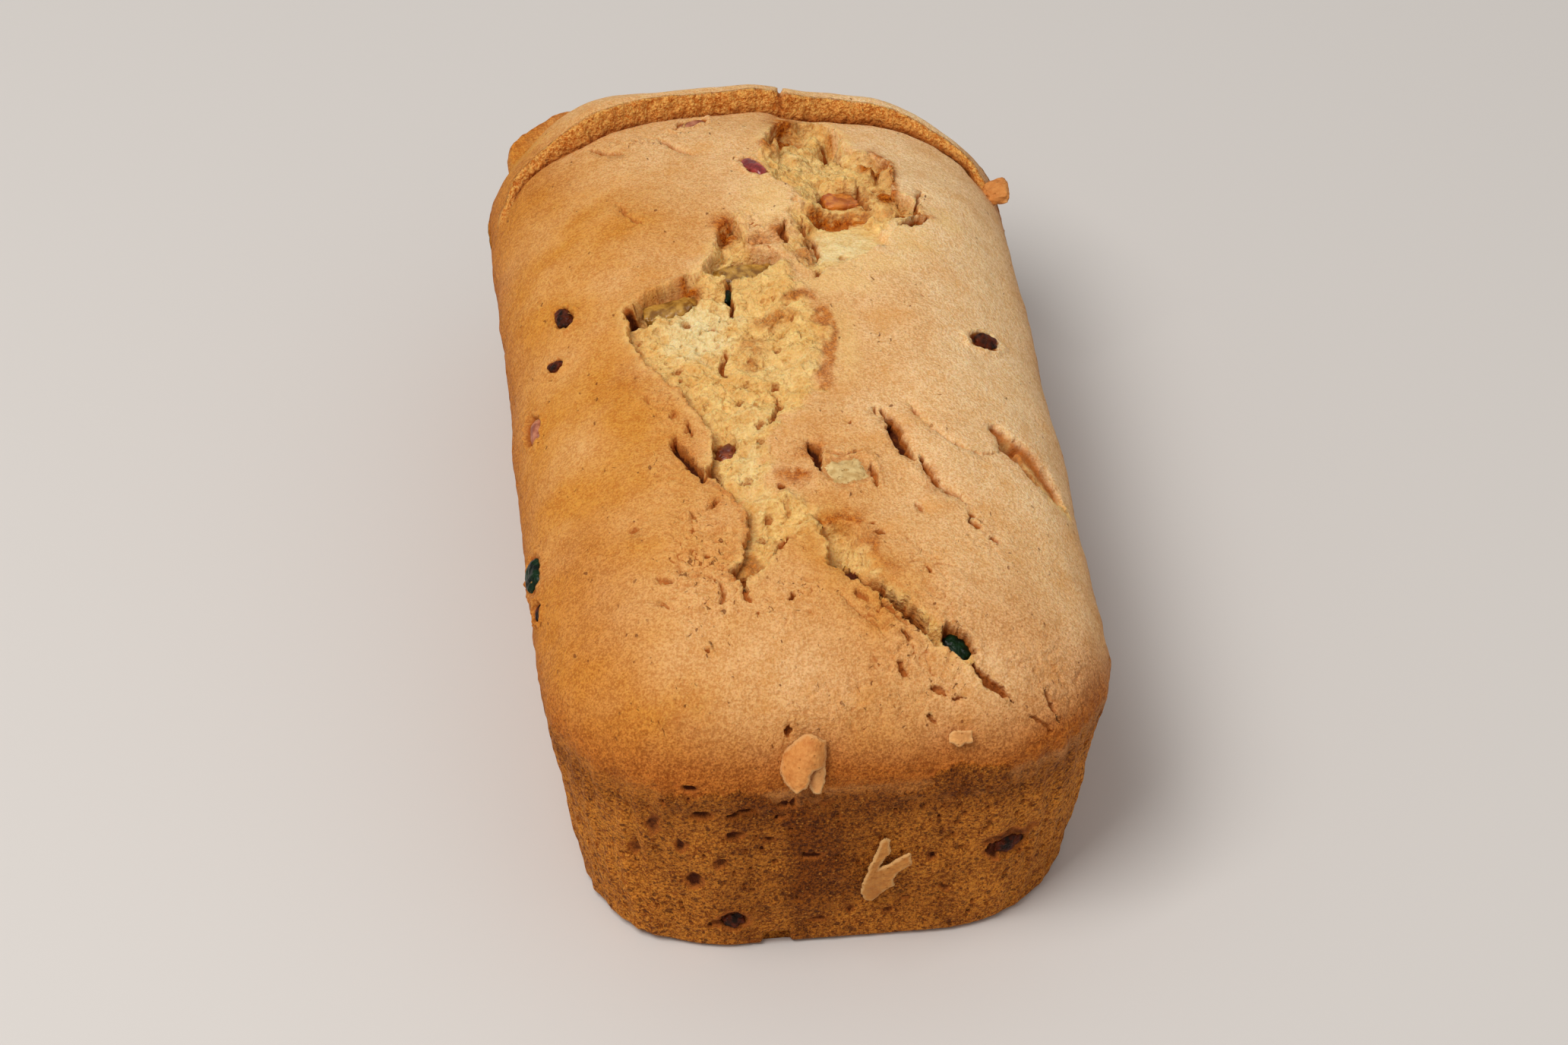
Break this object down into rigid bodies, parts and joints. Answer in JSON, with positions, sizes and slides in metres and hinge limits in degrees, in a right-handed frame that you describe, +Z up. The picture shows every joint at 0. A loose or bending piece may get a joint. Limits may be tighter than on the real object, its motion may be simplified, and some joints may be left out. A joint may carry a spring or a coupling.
{
  "type": "fruit loaf cake",
  "caption": "Tin-baked fruit loaf cake with a domed crust that split open, pale crumb in the tears, candied fruit in the surface, on a flat base.",
  "frame": {"origin": "middle of the flat base, on the surface it stands on", "axes": "+Z up, +Y along the loaf towards the end with the raised lip of crust, +X across it to the right"},
  "size_m": [0.1135, 0.2152, 0.0713],
  "materials": {
    "crust": "matt baked crust, golden on top and browner on the tin sides",
    "flake": "dry matt flake of crust",
    "dark_fruit": "dark dried cherry, sticky and glossy",
    "red_fruit": "red candied fruit, glossy",
    "amber_fruit": "candied peel and melon, waxy and a little see-through",
    "green_fruit": "dark green candied fruit, glossy"
  },
  "bodies": {
    "root": {"loaf": "crust", "dried_cherry_left": "dark_fruit", "dried_cherry_left_small": "dark_fruit", "dried_cherry_right": "dark_fruit", "red_cherry_far": "red_fruit", "pink_cherry_far": "red_fruit", "papaya_chunk": "amber_fruit", "peel_strip_far": "amber_fruit", "peel_strip_left": "amber_fruit", "angelica_bit": "green_fruit", "cherry_in_tear": "red_fruit", "melon_chunk": "amber_fruit", "green_cherry_near": "green_fruit", "green_cherry_side": "green_fruit", "pink_fruit_side": "red_fruit", "cherry_side_near": "red_fruit", "dark_cherry_front": "dark_fruit", "raisin_front": "dark_fruit", "crust_flake_forked": "flake", "crust_flake_curled": "flake", "crust_flake_small": "flake", "crust_crumb_far": "flake"}
  },
  "joints": []
}
